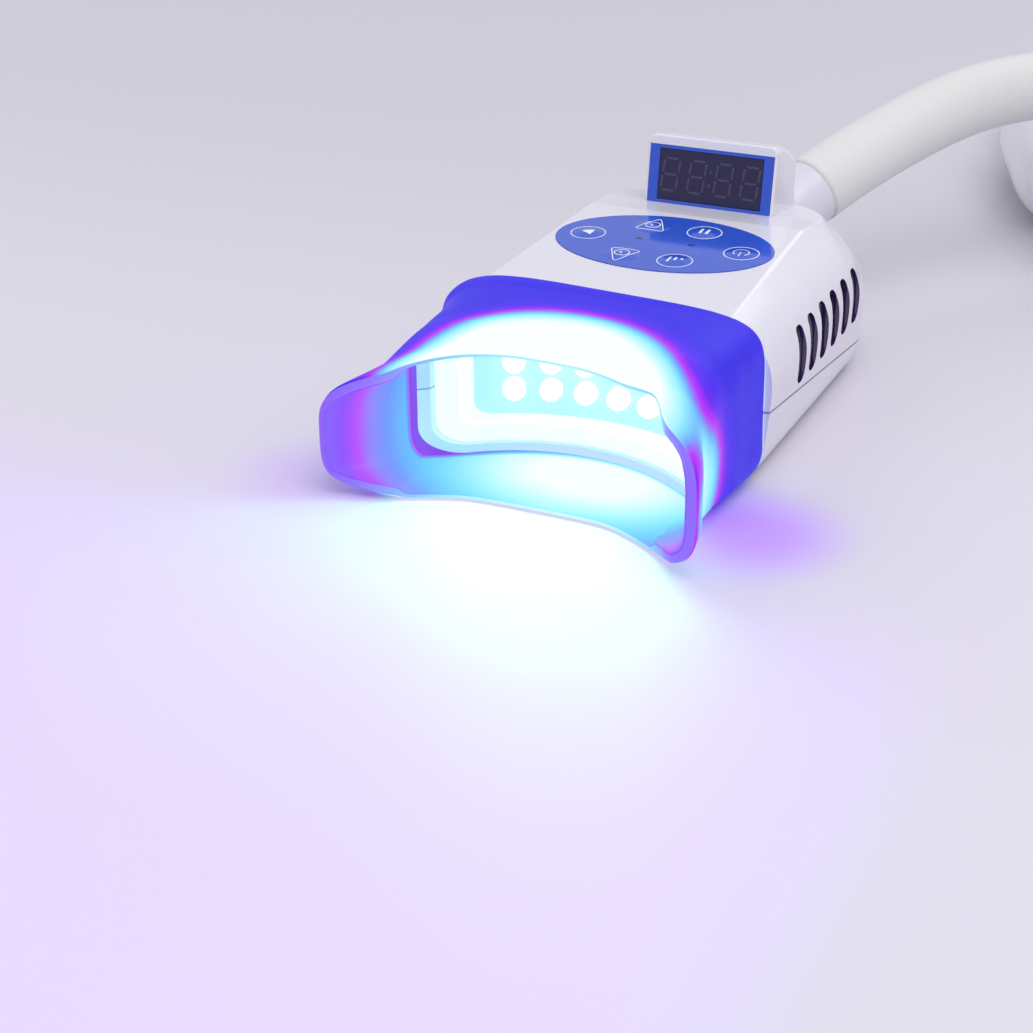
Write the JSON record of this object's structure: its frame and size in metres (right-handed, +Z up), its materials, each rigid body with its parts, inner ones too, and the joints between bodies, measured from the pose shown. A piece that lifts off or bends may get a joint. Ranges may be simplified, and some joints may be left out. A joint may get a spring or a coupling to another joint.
{
  "type": "teeth whitening lamp",
  "caption": "Light head with soft winged mouth shield, oval keypad, raised display and side vents, ball-jointed to a sheathed gooseneck arm with a mounting pin.",
  "frame": {"origin": "on the flat base of the head, under the middle of the keypad", "axes": "+Z up out of the keypad side, +Y to the back of the head where the arm leaves, the mouth shield faces -Y"},
  "size_m": [0.2196, 0.4684, 0.0684],
  "materials": {
    "white_shell": "glossy moulded white",
    "blue_print": "glossy blue printed film",
    "dark_window": "dark smoked window",
    "module_grey": "matte grey",
    "board_green": "solder mask",
    "switch_black": "matte black",
    "clear_frame": "translucent white",
    "clear_pane": "clear",
    "white_carrier": "reflecting white",
    "blue_lens": "lit blue lens",
    "red_lens": "red lens, unlit",
    "sink_metal": "extruded",
    "blue_silicone": "soft silicone",
    "seat_plastic": "nylon",
    "stud_steel": "turned",
    "ivory_sheath": "matte ivory sleeve",
    "core_steel": "wound strip",
    "lead_jacket": "cable jacket"
  },
  "bodies": {
    "arm_base": {"arm_connector": "white_shell", "mounting_pin": "stud_steel", "lead_grommet": "lead_jacket", "gooseneck_sheath": "ivory_sheath", "gooseneck_core": "core_steel", "supply_lead": "lead_jacket"},
    "arm_tip": {"tip_collar": "white_shell"},
    "stud": {"ball_stud": "stud_steel"},
    "head": {"upper_shell": "white_shell", "lower_shell": "white_shell", "rear_cover": "white_shell", "display_pod": "white_shell", "display_label": "blue_print", "display_window": "dark_window", "display_module": "module_grey", "keypad_overlay": "blue_print", "indicator_lenses": "dark_window", "keypad_board": "board_green", "switch_bodies": "switch_black", "window_frame": "clear_frame", "front_window": "clear_pane", "led_carrier": "white_carrier", "led_board": "board_green", "blue_leds": "blue_lens", "red_leds": "red_lens", "heat_sink": "sink_metal", "fan_frame": "switch_black", "socket_seat": "seat_plastic", "shell_screws": "stud_steel"},
    "fan": {"fan_rotor": "switch_black"},
    "shield": {"mouth_shield": "blue_silicone"},
    "key_power_body": {"key_power": "blue_print"},
    "key_play_body": {"key_play": "blue_print"},
    "key_pause_body": {"key_pause": "blue_print"},
    "key_level_body": {"key_level": "blue_print"},
    "key_time_up_body": {"key_time_up": "blue_print"},
    "key_time_down_body": {"key_time_down": "blue_print"}
  },
  "joints": [
    {"name": "arm_bend", "type": "hinge", "parent": "arm_base", "child": "arm_tip", "pos_m": [0.0572, 0.1437, 0.0592], "axis": [-0.774, 0.6332, 0], "range_deg": [-15, 40], "deforming": ["gooseneck_sheath", "gooseneck_core", "supply_lead"]},
    {"name": "head_roll", "type": "hinge", "parent": "arm_tip", "child": "stud", "pos_m": [0, 0.048, 0.025], "axis": [0.4559, 0.8058, 0.3778], "range_deg": [-85, 85], "deforming": ["supply_lead"]},
    {"name": "head_swing", "type": "hinge", "parent": "stud", "child": "head", "pos_m": [0, 0.048, 0.025], "axis": [-0.4051, -0.1901, 0.8943], "range_deg": [-59, 0], "deforming": ["supply_lead"]},
    {"name": "fan_spin", "type": "hinge", "parent": "head", "child": "fan", "pos_m": [0, 0.008, 0.0188], "axis": [0, 1, 0], "continuous": true},
    {"name": "shield_pull", "type": "slide", "parent": "head", "child": "shield", "axis": [0, -1, 0], "range_m": [0, 0.045]},
    {"name": "key_power_press", "type": "slide", "parent": "head", "child": "key_power_body", "axis": [0, 0.0384, -0.9993], "range_m": [0, 0.00035], "stiffness_N_per_m": 900, "springref_m": -0.0003},
    {"name": "key_play_press", "type": "slide", "parent": "head", "child": "key_play_body", "axis": [0, 0.0384, -0.9993], "range_m": [0, 0.00035], "stiffness_N_per_m": 900, "springref_m": -0.0003},
    {"name": "key_pause_press", "type": "slide", "parent": "head", "child": "key_pause_body", "axis": [0, 0.0384, -0.9993], "range_m": [0, 0.00035], "stiffness_N_per_m": 900, "springref_m": -0.0003},
    {"name": "key_level_press", "type": "slide", "parent": "head", "child": "key_level_body", "axis": [0, 0.0384, -0.9993], "range_m": [0, 0.00035], "stiffness_N_per_m": 900, "springref_m": -0.0003},
    {"name": "key_time_up_press", "type": "slide", "parent": "head", "child": "key_time_up_body", "axis": [0, 0.0384, -0.9993], "range_m": [0, 0.00035], "stiffness_N_per_m": 900, "springref_m": -0.0003},
    {"name": "key_time_down_press", "type": "slide", "parent": "head", "child": "key_time_down_body", "axis": [0, 0.0384, -0.9993], "range_m": [0, 0.00035], "stiffness_N_per_m": 900, "springref_m": -0.0003}
  ]
}
